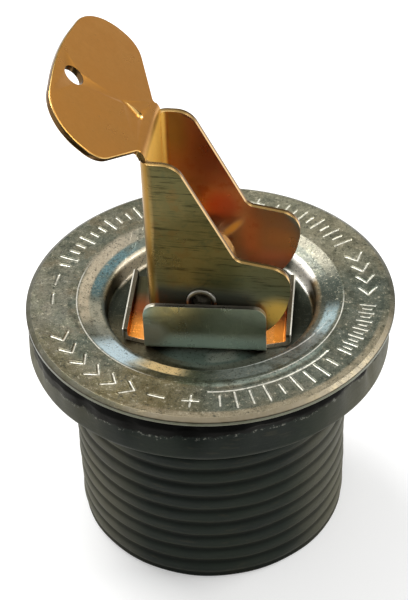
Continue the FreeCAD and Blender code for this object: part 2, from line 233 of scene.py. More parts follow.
class Finish:
    """A material on the Principled shader, with short ways to add its nodes."""

    def __init__(self, name, metallic=0.0, roughness=0.5, specular=0.5):
        self.material = bpy.data.materials.new(name)
        self.material.use_nodes = True
        self.tree = self.material.node_tree
        self.shader = self.tree.nodes["Principled BSDF"]
        self.shader.inputs["Metallic"].default_value = metallic
        self.shader.inputs["Roughness"].default_value = roughness
        self.shader.inputs["Specular IOR Level"].default_value = specular
        self.place = self.tree.nodes.new("ShaderNodeTexCoord").outputs["Object"]
        split = self.tree.nodes.new("ShaderNodeSeparateXYZ")
        self.feed(split.inputs[0], self.place)
        self.x, self.y, self.z = split.outputs

    def feed(self, socket, value):
        if isinstance(value, bpy.types.NodeSocket):
            self.tree.links.new(value, socket)
        elif value is not None:
            if isinstance(value, tuple) and socket.type == "RGBA":
                value = value + (1.0,)
            socket.default_value = value

    def add(self, kind, sockets, output=0, **settings):
        """Adds a node, sets its inputs by number or name, and gives one of its outputs."""
        node = self.tree.nodes.new("ShaderNode" + kind)
        for key, value in settings.items():
            setattr(node, key, value)
        for key, value in sockets.items():
            self.feed(node.inputs[key], value)
        return node.outputs[output]

    def noise(self, size, detail=3.0, roughness=0.55, stretch=None, turn=(0, 0, 0)):
        """Soft noise from 0 to 1, with features of about size millimetres, stretched along some axes."""
        place = self.place
        if stretch:
            place = self.add("Mapping", {"Vector": place, "Scale": tuple(1 / s for s in stretch), "Rotation": turn})
        return self.add("TexNoise", {"Vector": place, "Scale": 1.0 / (size * MM), "Detail": detail,
                                     "Roughness": roughness})

    def band(self, value, low, high, to_low=0.0, to_high=1.0):
        """A soft step: to_low below low, to_high above high."""
        return self.add("MapRange", {0: value, 1: low, 2: high, 3: to_low, 4: to_high},
                        interpolation_type="SMOOTHSTEP")

    def math(self, operation, first, second=0.0):
        return self.add("Math", {0: first, 1: second}, operation=operation)

    def radius(self):
        """Distance from the stem's axis, in metres."""
        return self.math("SQRT", self.math("ADD", self.math("MULTIPLY", self.x, self.x),
                                           self.math("MULTIPLY", self.y, self.y)))

    def between(self, value, low, high, soft):
        """1 where a value lies between low and high, with soft ends."""
        return self.math("MULTIPLY", self.band(value, low - soft, low + soft),
                         self.band(value, high + soft, high - soft))

    def sector(self, radius, middle, half, soft=12.0):
        """1 within half a width of an angle about the stem's axis, both in degrees from +X."""
        turn = math.radians(middle)
        facing = self.math("DIVIDE", self.math("ADD", self.math("MULTIPLY", self.x, math.cos(turn)),
                                               self.math("MULTIPLY", self.y, math.sin(turn))), radius)
        return self.band(facing, math.cos(math.radians(half + soft)), math.cos(math.radians(max(half - soft, 0))))

    def spot(self, across, along, centre, radius):
        """1 near a point of two coordinates, in millimetres, fading to 0 at a radius."""
        one = self.math("SUBTRACT", across, centre[0] * MM)
        two = self.math("SUBTRACT", along, centre[1] * MM)
        far = self.math("SQRT", self.math("ADD", self.math("MULTIPLY", one, one), self.math("MULTIPLY", two, two)))
        return self.band(far, radius * MM, 0.25 * radius * MM)

    def mix(self, factor, first, second, blend="MIX"):
        return self.add("Mix", {0: factor, 6: first, 7: second}, output=2, data_type="RGBA", blend_type=blend)

    def attribute(self, name):
        return self.add("Attribute", {}, output=2, attribute_name=name)

    def bump(self, height, depth, strength=1.0, before=None):
        """Bump of a height from 0 to 1 that stands for depth millimetres."""
        return self.add("Bump", {"Strength": strength, "Distance": depth * MM, "Height": height,
                                 "Normal": before})

    def done(self, colour=None, roughness=None, normal=None, metallic=None):
        for name, value in (("Base Color", colour), ("Roughness", roughness), ("Normal", normal),
                            ("Metallic", metallic)):
            if value is not None:
                self.feed(self.shader.inputs[name], value)
        return self.material


def plated_steel(name, colour, tarnish, roughness=0.28, speck=0.5):
    """Bright plating: cloudy tone, fine scratches, pale specks and dull spots."""
    f = Finish(name, metallic=1.0)
    clouds = f.noise(5.0, detail=5.0, roughness=0.6)
    grains = f.noise(0.5, detail=4.0, roughness=0.75)
    pits = f.noise(0.23, detail=2.0, roughness=0.8)
    scratch_a = f.noise(0.22, detail=2.0, stretch=(1.0, 9.0, 9.0), turn=(0, 0, 0.6))
    scratch_b = f.noise(0.2, detail=2.0, stretch=(9.0, 1.0, 9.0), turn=(0, 0, -0.3))
    tone = f.mix(f.band(clouds, 0.35, 0.65), tarnish, colour)
    tone = f.mix(f.band(grains, 0.60, 0.76, 0.0, speck), tone, (0.80, 0.77, 0.68))
    tone = f.mix(f.band(grains, 0.44, 0.27, 0.0, 1.2 * speck), tone, (0.075, 0.075, 0.055))
    tone = f.mix(f.band(pits, 0.42, 0.30, 0.0, 1.5 * speck), tone, (0.06, 0.06, 0.045))
    scratches = f.math("ADD", f.band(scratch_a, 0.62, 0.7), f.band(scratch_b, 0.63, 0.71))
    rough = f.math("ADD", f.band(clouds, 0.3, 0.7, roughness + 0.12, roughness), f.math("MULTIPLY", scratches, 0.1))
    height = f.math("SUBTRACT", f.math("MULTIPLY", grains, 0.5), f.math("MULTIPLY", scratches, 0.3))
    return f, tone, rough, f.bump(height, 0.035)


# Tints of the flange's well, dish, ring and rim by place, most of them painted reflections, highlights and shade (the
# dark well floor is painted shade, the white rows are painted glints): radii in millimetres, middle and half width in
# degrees, colour, strength
FLANGE_PAINTED_LIGHT_TINTS = [
    (0.0, 11.7, 0, 180, (0.030, 0.034, 0.025), 1.0),
    (6.2, 9.4, 275, 34, (0.17, 0.225, 0.19), 0.90),
    (7.0, 8.5, 287, 9, (0.50, 0.52, 0.44), 0.60),
    (8.7, 11.7, 228, 32, (0.14, 0.12, 0.07), 0.75),
    (8.9, 11.7, 305, 32, (0.19, 0.20, 0.155), 0.85),
    (11.7, 14.9, 0, 180, (0.150, 0.165, 0.132), 0.85),
    (13.5, 14.8, 176, 30, (0.56, 0.48, 0.34), 0.95),
    (13.5, 15.2, 150, 16, (0.34, 0.29, 0.21), 0.70),
    (12.3, 13.5, 166, 20, (0.10, 0.20, 0.22), 0.90),
    (11.7, 12.5, 186, 10, (0.085, 0.11, 0.095), 0.80),
    (12.2, 13.6, 204, 13, (0.42, 0.40, 0.30), 0.90),
    (12.3, 14.8, 217, 8, (0.20, 0.21, 0.17), 0.80),
    (12.5, 14.8, 232, 10, (0.52, 0.66, 0.72), 1.0),
    (12.2, 14.4, 245, 4, (0.48, 0.50, 0.42), 0.90),
    (11.8, 13.7, 257, 10, (0.80, 0.57, 0.26), 1.0),
    (13.8, 15.4, 257, 12, (0.16, 0.13, 0.06), 0.90),
    (11.8, 15.4, 274, 8, (0.085, 0.105, 0.060), 0.90),
    (11.8, 14.4, 307, 26, (0.205, 0.235, 0.21), 0.90),
    (12.9, 14.4, 337, 8, (0.27, 0.29, 0.27), 0.80),
    (13.0, 14.5, 350, 9, (0.38, 0.52, 0.55), 0.95),
    (12.4, 14.9, 13, 13, (0.024, 0.033, 0.024), 0.95),
    (12.4, 13.6, 36, 12, (0.10, 0.105, 0.085), 0.90),
    (13.6, 15.2, 45, 18, (0.19, 0.175, 0.13), 0.85),
    (11.5, 12.4, 2, 26, (0.17, 0.11, 0.045), 0.90),
    (11.7, 12.1, 172, 12, (0.26, 0.21, 0.11), 0.85),
    (11.4, 12.4, 35, 9, (1.0, 0.97, 0.90), 1.0),
    (11.4, 12.3, 146, 12, (0.70, 0.62, 0.46), 1.0),
    (14.9, 19.4, 355, 24, (0.070, 0.084, 0.065), 0.70),
    (14.9, 20.2, 60, 36, (0.26, 0.24, 0.16), 0.60),
    (16.0, 20.2, 190, 14, (0.21, 0.20, 0.15), 0.45),
    (15.2, 20.2, 257, 14, (0.140, 0.117, 0.053), 0.80),
    (15.6, 19.4, 308, 34, (0.090, 0.102, 0.080), 0.60),
    (14.7, 15.5, 303, 24, (0.30, 0.37, 0.32), 0.60),
    (19.3, 20.2, 302, 46, (0.27, 0.225, 0.145), 0.85),
]


def flange_finish():
    """Plated flange: speckled olive-grey ring with brown stains, dish tinted with painted reflections and highlights,
    well darkened as painted shade, and tan rim with painted light and shade.
    """
    f, tone, rough, normal = plated_steel("plated_flange", (0.150, 0.143, 0.098), (0.078, 0.086, 0.058), 0.28, 0.0)
    radius = f.radius()
    swirl = f.band(f.noise(1.6, detail=4.0), 0.34, 0.52, 0.55, 1.0)
    ring = f.band(radius, 0.0148, 0.0153)
    grime = f.math("MULTIPLY", ring, f.band(f.noise(1.3, detail=5.0, roughness=0.7), 0.40, 0.60, 0.35, 0.9))
    stains = f.noise(2.6, detail=5.0, roughness=0.65)
    tone = f.mix(f.math("MULTIPLY", ring, f.band(stains, 0.50, 0.62, 0.0, 0.7)), tone, (0.120, 0.096, 0.050))
    tone = f.mix(f.math("MULTIPLY", ring, f.band(stains, 0.46, 0.36, 0.0, 0.7)), tone, (0.055, 0.068, 0.055))
    near = f.math("MULTIPLY", f.sector(radius, 235, 35, 20.0), f.band(radius, 0.0170, 0.0190, 0.0, 0.65))
    tone = f.mix(near, tone, (0.105, 0.086, 0.040))
    painted = grime
    # Painted reflections, highlights and shade from the table, placed by radius and sector; what is painted strongly
    # is less of a mirror
    for low, high, middle, half, colour, strength in FLANGE_PAINTED_LIGHT_TINTS:
        place = f.between(radius, low * MM, high * MM, 0.2 * MM)
        if half < 180:
            place = f.math("MULTIPLY", place, f.sector(radius, middle, half, min(12.0, 0.7 * half)))
        if strength < 1:
            place = f.math("MULTIPLY", place, strength if high < 12.0 else f.math("MULTIPLY", swirl, strength))
        tone = f.mix(place, tone, colour)
        painted = f.math("MAXIMUM", painted, f.math("MULTIPLY", place, min(1.0, 3 * max(colour))))
    # Painted highlights: thin bright lines along the crease on two sectors and along the well's brow
    crease_highlight_sectors = f.math("MAXIMUM", f.sector(radius, 210, 38), f.sector(radius, 332, 30))
    crease = f.math("MULTIPLY", f.between(radius, 0.01488, 0.01500, 0.00006), crease_highlight_sectors)
    tone = f.mix(f.math("MULTIPLY", crease, 0.85), tone, (0.85, 0.83, 0.74))
    away = [f.math("SUBTRACT", part, middle * MM) for part, middle in ((f.x, -0.63), (f.y, 3.43))]
    away = f.math("SQRT", f.math("ADD", *(f.math("MULTIPLY", part, part) for part in away)))
    brow_highlight = f.math("MULTIPLY", f.between(away, 0.01533, 0.01552, 0.00006), f.sector(radius, 311, 30))
    tone = f.mix(f.math("MULTIPLY", brow_highlight, 0.85), tone, (0.80, 0.83, 0.78))
    painted = f.math("MAXIMUM", painted, f.math("MULTIPLY", f.math("MAXIMUM", brow_highlight, crease), 0.9))
    open_part = f.band(radius, 0.0119, 0.0124, 0.2, 1.0)
    coarse = f.noise(0.45, detail=4.0, roughness=0.8)
    fine = f.noise(0.2, detail=3.0, roughness=0.8)
    tone = f.mix(f.math("MULTIPLY", open_part, f.band(coarse, 0.57, 0.68, 0.0, 0.7)), tone, (0.46, 0.42, 0.31))
    tone = f.mix(f.band(coarse, 0.46, 0.34, 0.0, 0.85), tone, (0.028, 0.030, 0.021))
    tone = f.mix(f.math("MULTIPLY", open_part, f.band(fine, 0.59, 0.70, 0.0, 0.65)), tone, (0.45, 0.42, 0.32))
    tone = f.mix(f.band(fine, 0.44, 0.33, 0.0, 0.75), tone, (0.030, 0.031, 0.022))
    # Pressed marks painted pale, a painted highlight along each stroke
    pressed = f.math("MULTIPLY", f.band(f.attribute("pressed"), 0.25, 0.7), f.band(coarse, 0.35, 0.55, 0.45, 0.85))
    tone = f.mix(pressed, tone, (0.72, 0.70, 0.60))
    # Rim bevel: a painted lit side on one sector and painted shade on the rest
    bevel = f.band(radius, 0.02005, 0.02015)
    sunlit = f.sector(radius, 305, 52)
    tone = f.mix(f.math("MULTIPLY", bevel, sunlit), tone, (0.22, 0.185, 0.12))
    tone = f.mix(f.math("MULTIPLY", bevel, f.math("SUBTRACT", 0.85, sunlit)), tone, (0.075, 0.072, 0.045))
    # Rim side: painted shade along its top and painted lighter bands below it
    side = f.band(radius, 0.0204, 0.0205)
    tone = f.mix(f.math("MULTIPLY", side, f.band(f.z, 0.02918, 0.02908)), tone, (0.05, 0.04, 0.025))
    tone = f.mix(f.math("MULTIPLY", side, f.band(f.z, 0.02906, 0.02900)), tone, (0.14, 0.145, 0.095))
    tone = f.mix(f.math("MULTIPLY", side, f.band(f.z, 0.02872, 0.02866)), tone, (0.34, 0.32, 0.25))
    return f.done(tone, rough, normal, f.band(painted, 0.0, 1.0, 1.0, 0.3))


def tray_finish():
    """Plated tray: dark grey-green tabs (the low tabs darkened as painted shade), a painted paler and bluer reflection
    at their feet, and where it lies under the handle painted shade towards the back and a painted orange reflection of
    the handle towards the front.
    """
    f, tone, rough, normal = plated_steel("plated_tray", (0.62, 0.67, 0.52), (0.47, 0.53, 0.41), 0.24, 0.12)
    f.x, f.y = (f.math("ADD", f.math("MULTIPLY", f.x, math.cos(TRAY_PLAY)), f.math("MULTIPLY", f.y, math.sin(TRAY_PLAY))),
                f.math("SUBTRACT", f.math("MULTIPLY", f.y, math.cos(TRAY_PLAY)), f.math("MULTIPLY", f.x, math.sin(TRAY_PLAY))))
    side = f.math("ABSOLUTE", f.y)
    across = f.math("ABSOLUTE", f.x)
    # Painted paler, bluer reflection at the tabs' feet
    foot_reflection = f.math("MULTIPLY", f.band(f.z, 0.0296, 0.0280), f.band(side, 0.0061, 0.0064))
    tone = f.mix(foot_reflection, tone, (0.40, 0.52, 0.42))
    # Painted pale reflection low on the tall tab
    pale_reflection_spot = f.math("MULTIPLY", f.spot(f.x, f.z, (-6.0, 28.6), 2.6), f.band(side, 0.0061, 0.0064))
    tone = f.mix(f.math("MULTIPLY", pale_reflection_spot, 0.8), tone, (0.26, 0.24, 0.16))
    # Low tabs darkened as painted shade
    low_tabs = f.band(across, 0.0072, 0.0076)
    tone = f.mix(low_tabs, tone, (0.08, 0.08, 0.06))
    # Under the handle: painted shade towards the back and a painted orange reflection of the brass handle towards the
    # front
    under = f.math("MULTIPLY", f.band(side, 0.0066, 0.0062), f.band(across, 0.0092, 0.0089))
    handle_shade_and_reflection = f.mix(f.band(f.y, 0.0030, -0.0005), (0.055, 0.050, 0.024), (0.26, 0.070, 0.020))
    handle_shade_and_reflection = f.mix(f.band(f.y, -0.0005, -0.0042), handle_shade_and_reflection, (1.0, 0.36, 0.035))
    outer = f.math("MULTIPLY", low_tabs, f.band(across, 0.0089, 0.0091))
    under_handle_painted_light = f.math("MULTIPLY", under, f.math("SUBTRACT", 1.0, outer))
    tone = f.mix(f.math("MULTIPLY", under_handle_painted_light, 0.92), tone, handle_shade_and_reflection)
    edge = f.attribute("edge")
    rounding_highlight = f.between(edge, 0.2, 0.8, 0.1)
    flat = f.math("MULTIPLY", low_tabs, f.math("MULTIPLY", edge, f.band(f.z, 0.0276, 0.0280)))
    tone = f.mix(f.math("MULTIPLY", edge, 0.9), tone, (0.60, 0.58, 0.48))
    tone = f.mix(flat, tone, (0.070, 0.055, 0.028))
    # Painted highlights on the rounded edges
    tone = f.mix(f.math("MULTIPLY", rounding_highlight, 0.6), tone, (0.62, 0.60, 0.50))
    level = f.math("MULTIPLY", f.math("MULTIPLY", edge, f.band(f.z, 0.0325, 0.0327)), f.band(across, 0.0058, 0.0052))
    tone = f.mix(f.math("MULTIPLY", level, 0.85), tone, (0.11, 0.105, 0.085))
    # Painted highlight along the low tabs' outer top edge
    outer_edge_highlight = f.math("MULTIPLY", f.math("MULTIPLY", low_tabs, f.band(edge, 0.1, 0.3)), f.band(across, 0.00918, 0.00922))
    tone = f.mix(outer_edge_highlight, tone, (0.75, 0.73, 0.64))
    glow = f.math("MULTIPLY", under_handle_painted_light, f.band(f.y, -0.0005, -0.0035, 0.0, 0.45))
    glow = f.math("MAXIMUM", glow, f.math("MULTIPLY", f.math("MAXIMUM", outer_edge_highlight, flat), 0.7))
    dull = f.math("MAXIMUM", glow, f.math("MULTIPLY", f.math("MAXIMUM", foot_reflection, pale_reflection_spot), 0.7))
    return f.done(tone, rough, normal, f.math("SUBTRACT", 1.0, dull))


GLINT = (2.0, 35.1)
GLINT_LEAN = 0.81


def brass_finish():
    """Yellow plated sheet: golden tab, olive outside cheeks with fine level streaks, red-brown inside, with painted
    shade, painted reflections, a painted red glow, a painted glint and painted highlights on the rounded edges.
    """
    f = Finish("yellow_brass", metallic=1.0)
    clouds = f.noise(4.0, detail=5.0, roughness=0.6)
    blots = f.noise(2.2, detail=4.0, roughness=0.65)
    fine = f.noise(0.35, detail=4.0, roughness=0.65)
    streaks = f.noise(0.22, detail=4.0, roughness=0.65, stretch=(14.0, 1.0, 1.0))
    side = f.math("ABSOLUTE", f.y)
    low = f.band(f.z, 0.0496, 0.0512, 1.0, 0.0)

    # Golden tab and web
    tone = f.mix(f.band(clouds, 0.35, 0.68), (0.46, 0.20, 0.034), (0.56, 0.255, 0.050))
    tone = f.mix(f.math("MULTIPLY", low, f.band(f.x, -0.0046, -0.0052)), tone, (0.31, 0.175, 0.036))

    # Olive outer faces, their olive partly a painted dark reflection, with painted shade low on the cheek and a
    # painted golden reflection at the lobe's foot
    olive = f.mix(f.band(clouds, 0.35, 0.65), (0.52, 0.45, 0.20), (0.70, 0.56, 0.24))
    olive = f.mix(f.band(blots, 0.54, 0.68, 0.0, 0.6), olive, (0.66, 0.42, 0.16))
    olive = f.mix(f.band(blots, 0.45, 0.33, 0.0, 0.5), olive, (0.30, 0.33, 0.19))
    # Darker and greener towards the bottom, a painted dark reflection of the flange below
    olive = f.mix(f.band(f.z, 0.0335, 0.0405, 0.85, 0.0), olive, (0.058, 0.082, 0.058))
    olive = f.mix(f.band(f.x, 0.0025, 0.0060, 0.0, 0.5), olive, (0.46, 0.44, 0.26))
    olive = f.mix(f.band(streaks, 0.50, 0.68, 0.0, 0.75), olive, (0.10, 0.095, 0.05))
    shade = f.math("MULTIPLY", f.band(f.z, 0.0352, 0.0334), f.band(f.x, 0.0068, 0.0048))
    olive = f.mix(f.math("MULTIPLY", shade, 0.92), olive, (0.031, 0.034, 0.024))
    # Painted golden reflection at the lobe's foot; further down it also holds the painted shade
    painted_lobe_light = f.spot(f.x, f.z, (8.3, 31.6), 3.0)
    olive = f.mix(f.math("MULTIPLY", painted_lobe_light, 0.95), olive, (0.90, 0.55, 0.09))
    outside = f.math("MULTIPLY", f.math("MULTIPLY", f.band(side, 0.00515, 0.0053), low),
                     f.band(f.x, -0.0054, -0.0046))
    tone = f.mix(outside, tone, olive)

    # Red-brown inner faces, with a painted red glow of reflected light and a painted glint above the eye
    between = f.math("MULTIPLY", f.band(side, 0.00485, 0.0047), low)
    red = f.mix(f.band(clouds, 0.35, 0.65), (0.60, 0.40, 0.28), (0.70, 0.48, 0.34))
    red = f.mix(f.band(blots, 0.54, 0.68, 0.0, 0.6), red, (0.50, 0.20, 0.12))
    red = f.mix(f.band(blots, 0.44, 0.32, 0.0, 0.6), red, (0.62, 0.50, 0.30))
    red = f.mix(f.band(f.z, 0.0385, 0.0440, 0.0, 0.75), red, (0.40, 0.185, 0.14))
    red = f.mix(f.math("MULTIPLY", f.band(f.z, 0.0430, 0.0470), f.band(f.x, -0.0020, -0.0036, 0.0, 0.6)), red, (0.24, 0.22, 0.12))
    red = f.mix(f.band(f.x, 0.0035, 0.0060, 0.0, 0.85), red, (0.44, 0.47, 0.38))
    red = f.mix(f.math("MULTIPLY", f.band(f.x, 0.0035, 0.0060), f.band(f.z, 0.0332, 0.0312, 0.0, 0.8)), red, (0.80, 0.58, 0.50))
    red = f.mix(f.math("MULTIPLY", f.spot(f.x, f.z, (1.0, 38.0), 3.0), 0.8), red, (0.62, 0.15, 0.09))
    glint = f.spot(f.math("SUBTRACT", f.x, f.math("MULTIPLY", f.z, GLINT_LEAN)), f.math("MULTIPLY", f.z, 0.5),
                   (GLINT[0] - GLINT_LEAN * GLINT[1], 0.5 * GLINT[1]), 0.95)
    red = f.mix(glint, red, (1.0, 0.52, 0.09))
    inside = f.math("MULTIPLY", between, f.math("MULTIPLY", f.band(side, 0.0035, 0.0045),
                                                f.band(f.x, -0.0052, -0.0044)))
    tone = f.mix(inside, tone, red)
    # The web's inner face painted bright gold, a painted highlight
    web = f.math("MULTIPLY", between, f.between(f.x, -0.0057, -0.0049, 0.0002))
    tone = f.mix(web, tone, (1.0, 0.58, 0.10))

    # Cut edges: brown faces between rounded corners with painted highlights
    edge = f.attribute("edge")
    rounding_highlight = f.between(edge, 0.2, 0.8, 0.1)
    cut = f.math("MULTIPLY", f.band(edge, 0.8, 0.95), f.band(f.z, 0.0512, 0.0518))
    tone = f.mix(f.math("MULTIPLY", edge, 0.9), tone, (0.66, 0.42, 0.16))
    tone = f.mix(cut, tone, (0.16, 0.09, 0.035))
    tone = f.mix(f.math("MULTIPLY", rounding_highlight, 0.6), tone, (0.80, 0.55, 0.20))
    lean = f.math("SUBTRACT", f.y, f.math("MULTIPLY", f.math("SIGN", f.y), 0.00505))
    burr = f.math("MULTIPLY", f.band(lean, -0.00002, 0.00008), f.math("MULTIPLY", f.band(side, 0.0045, 0.0046), low))
    tone = f.mix(f.math("MULTIPLY", burr, f.band(edge, 0.1, 0.4, 0.0, 0.9)), tone, (0.11, 0.055, 0.020))
    tone = f.mix(f.band(fine, 0.60, 0.78, 0.0, 0.45), tone, (0.20, 0.11, 0.03))
    rough = f.math("ADD", f.band(clouds, 0.3, 0.7, 0.36, 0.27), f.math("MULTIPLY", edge, -0.08))
    rough = f.math("ADD", rough, f.math("MULTIPLY", web, 0.15))
    height = f.math("ADD", f.math("MULTIPLY", fine, 0.4), f.math("MULTIPLY", streaks, 0.6))
    painted_lobe_light = f.math("MAXIMUM", painted_lobe_light, shade)
    dull = f.math("MAXIMUM", f.math("MULTIPLY", f.math("MULTIPLY", outside, painted_lobe_light), 0.85),
                  f.math("MAXIMUM", f.math("MULTIPLY", web, 0.55), f.math("MULTIPLY", f.math("MULTIPLY", inside, glint), 0.8)))
    return f.done(tone, rough, f.bump(height, 0.02, 0.7), f.math("SUBTRACT", 1.0, dull))


def rivet_finish():
    f, tone, rough, normal = plated_steel("plated_rivet", (0.62, 0.60, 0.55), (0.42, 0.40, 0.35), 0.25, 0.3)
    # Painted shade inside the rivet's hollow
    hollow_shade = f.math("MULTIPLY", f.spot(f.x, f.z, (0, PIN_LEVEL), 1.4 / 0.65), f.band(f.y, -0.0052, -0.0053))
    return f.done(f.mix(f.band(hollow_shade, 0.38, 0.55, 0.0, 0.9), tone, (0.06, 0.055, 0.05)), rough, normal)


def stem_finish():
    f, tone, rough, normal = plated_steel("plated_stem", (0.55, 0.54, 0.50), (0.36, 0.35, 0.31), 0.32, 0.3)
    # Above the well floor the stem is painted warm orange, a painted reflection of the brass handle
    return f.done(f.mix(f.band(f.z, 0.0290, 0.0310), tone, (0.78, 0.46, 0.18)), rough, normal)


def washer_finish():
    f, tone, rough, normal = plated_steel("plated_washer", (0.50, 0.51, 0.46), (0.34, 0.35, 0.30), 0.3, 0.4)
    edge = f.attribute("edge")
    return f.done(f.mix(f.math("MULTIPLY", edge, 0.6), tone, (0.8, 0.79, 0.72)), rough, normal)


def nut_finish():
    f, tone, rough, normal = plated_steel("machined_brass", (0.66, 0.47, 0.20), (0.48, 0.32, 0.13), 0.3, 0.15)
    edge = f.attribute("edge")
    return f.done(f.mix(f.math("MULTIPLY", edge, 0.7), tone, (0.85, 0.66, 0.34)), rough, normal)


def rubber_finish():
    """Satin moulded rubber: dark green-grey, with brown dust and painted sheen towards the sides, painted shade in the
    grooves and a ragged black painted shadow under the rim.
    """
    f = Finish("moulded_rubber", roughness=0.6, specular=0.12)
    f.shader.inputs["Sheen Weight"].default_value = 0.08
    f.shader.inputs["Sheen Roughness"].default_value = 0.5
    f.shader.inputs["Sheen Tint"].default_value = (0.60, 0.53, 0.30, 1.0)
    clouds = f.noise(6.0, detail=4.0)
    fine = f.noise(0.45, detail=5.0, roughness=0.7)
    marks = f.noise(0.9, detail=3.0, stretch=(3.0, 3.0, 0.7))
    tone = f.mix(f.band(clouds, 0.35, 0.65), (0.009, 0.0140, 0.0115), (0.016, 0.0225, 0.0170))
    tone = f.mix(f.band(marks, 0.56, 0.75, 0.0, 0.6), tone, (0.034, 0.033, 0.021))
    # Towards the left and right sides: brown dust with painted sheen
    sides = f.math("ABSOLUTE", f.math("DIVIDE", f.math("ADD", f.x, f.math("MULTIPLY", f.y, 0.17)), f.radius()))
    dust_and_sheen = f.math("MULTIPLY", f.band(sides, 0.45, 0.95), f.band(clouds, 0.3, 0.6, 0.6, 1.0))
    tone = f.mix(dust_and_sheen, tone, (0.112, 0.108, 0.078))
    # Painted shade in the rib grooves
    tone = f.mix(f.band(f.attribute("groove"), 0.15, 0.75, 0.0, 0.6), tone, (0.002, 0.003, 0.002))
    # Painted black shadow under the flange rim, with a ragged lower edge and pale nicks along it
    rim_shadow_level = f.math("ADD", f.z, f.math("MULTIPLY", f.noise(1.2, detail=5.0, roughness=0.7), 0.0016))
    rim_shadow_level = f.math("ADD", rim_shadow_level, f.band(f.x, 0.012, -0.006, 0.0001, 0.0008))
    tone = f.mix(f.band(rim_shadow_level, 0.0278, 0.0281, 0.0, 0.95), tone, (0.0015, 0.0015, 0.0015))
    nicks = f.math("MULTIPLY", f.between(rim_shadow_level, 0.0276, 0.0279, 0.0001), f.band(fine, 0.53, 0.60))
    tone = f.mix(f.math("MULTIPLY", nicks, 0.8), tone, (0.21, 0.21, 0.18))
    tone = f.mix(f.band(fine, 0.70, 0.80, 0.0, 0.35), tone, (0.09, 0.09, 0.07))
    rough = f.band(clouds, 0.3, 0.7, 0.50, 0.68)
    return f.done(tone, rough, f.bump(f.math("ADD", fine, marks), 0.05, 0.6))


# Flange plate: stamped sheet with generic marks pressed into its ring

def ring_point(angle, radius):
    """A point of the ring, with the angle in degrees from the photograph's right, counterclockwise."""
    turn = math.radians(angle + AZIMUTH)
    return np.array([radius * math.cos(turn), radius * math.sin(turn)])


AZIMUTH, ELEVATION, DISTANCE = 9.56, 39.366, 182.66
MARK_LOW, MARK_HIGH = 16.45, 18.85
MARK_MIDDLE = (MARK_LOW + MARK_HIGH) / 2
MARK_WIDTH = 0.36
MARK_DEPTH = 0.14


def ticks(first, last, count, lengths):
    """Radial strokes, evenly spread, whose lengths follow a repeating list."""
    strokes = []
    for i in range(count):
        angle = first + (last - first) * i / (count - 1)
        half = lengths[i % len(lengths)] / 2
        strokes.append([ring_point(angle, MARK_MIDDLE - half), ring_point(angle, MARK_MIDDLE + half)])
    return strokes


def chevrons(first, last, count, lean):
    """Open arrowheads that point round the ring."""
    strokes = []
    for i in range(count):
        angle = first + (last - first) * i / (count - 1)
        strokes.append([ring_point(angle, MARK_LOW + 0.2), ring_point(angle + lean, MARK_MIDDLE),
                        ring_point(angle, MARK_HIGH - 0.2)])
    return strokes


def arc(first, last, radius, steps=10):
    return [[ring_point(first + (last - first) * k / steps, radius) for k in range(steps + 1)]]


def cross(angle, plus):
    """A minus sign, or a plus sign, with its bar along the ring."""
    half = math.degrees(0.85 / MARK_MIDDLE)
    strokes = [[ring_point(angle - half, MARK_MIDDLE), ring_point(angle + half, MARK_MIDDLE)]]
    if plus:
        strokes.append([ring_point(angle, MARK_MIDDLE - 0.85), ring_point(angle, MARK_MIDDLE + 0.85)])
    return strokes


marks = (chevrons(200, 238, 6, 4.0) + cross(250, False) + cross(262, True)
         + ticks(272, 316, 9, [1.5, 2.4, 2.0, 2.4]) + arc(268, 320, MARK_LOW - 0.25)
         + ticks(323, 350, 13, [1.6, 0.9]) + chevrons(0, 20, 4, -4.0) + ticks(28, 62, 10, [2.2, 1.2])
         + cross(70, True) + ticks(118, 160, 11, [2.2, 1.2, 1.2]) + cross(169, False) + cross(180, False))


def pressed_depth(x, y):
    """Depth of the pressed marks at points of the ring, with a faint raised lip along each stroke."""
    nearest = np.full(x.shape, 9.0)
    for stroke in marks:
        for start, end in zip(stroke, stroke[1:]):
            run = end - start
            along = ((x - start[0]) * run[0] + (y - start[1]) * run[1]) / (run @ run)
            along = np.clip(along, 0, 1)
            nearest = np.minimum(nearest, np.hypot(x - start[0] - along * run[0], y - start[1] - along * run[1]))
    inside = np.clip(1 - nearest / (MARK_WIDTH / 2), 0, 1)
    lip = np.exp(-((nearest - 0.6 * MARK_WIDTH) / 0.1) ** 2)
    return MARK_DEPTH * inside ** 0.8 - 0.02 * lip


def sheet_waves(x, y):
    """Faint unevenness of stamped sheet, a few hundredths of a millimetre."""
    return (0.018 * np.sin(0.9 * x + 1.3 * np.sin(0.7 * y)) + 0.014 * np.sin(1.3 * y + 0.8 * x + 2.0)
            + 0.006 * np.sin(2.9 * x - 2.1 * y + 1.0))


